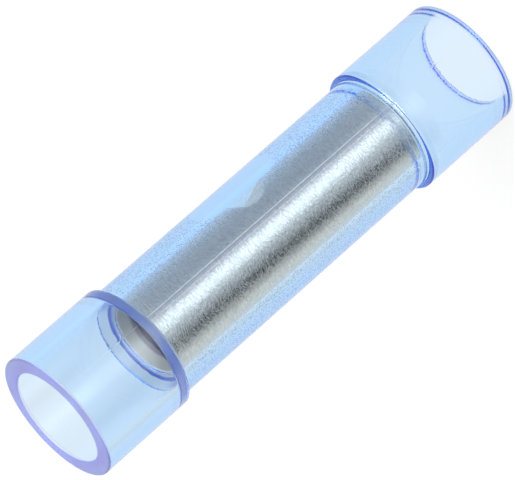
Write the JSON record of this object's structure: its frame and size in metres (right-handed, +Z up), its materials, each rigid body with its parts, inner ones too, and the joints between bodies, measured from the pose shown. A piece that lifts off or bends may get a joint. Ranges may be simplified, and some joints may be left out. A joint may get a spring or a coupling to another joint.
{
  "type": "butt splice connector",
  "caption": "Insulated butt splice: a tinned copper tube with a pressed centre stop in a clear blue moulded sleeve with wide funnelled ends, crimped to join wires end to end.",
  "frame": {"origin": "centre of the lower end, on the surface that the connector stands on", "axes": "+Z up along the connector's own axis; X and Y lie across it, with the mould's parting lines on -Y and +Y"},
  "size_m": [0.0066, 0.0066, 0.0264],
  "materials": {
    "clear_blue_nylon": "clear moulded nylon with a light blue tint",
    "tinned_copper": "matt tin plating over copper, finely grained round the tube"
  },
  "bodies": {
    "root": {"insulation_sleeve": "clear_blue_nylon", "crimp_barrel": "tinned_copper"}
  },
  "joints": []
}
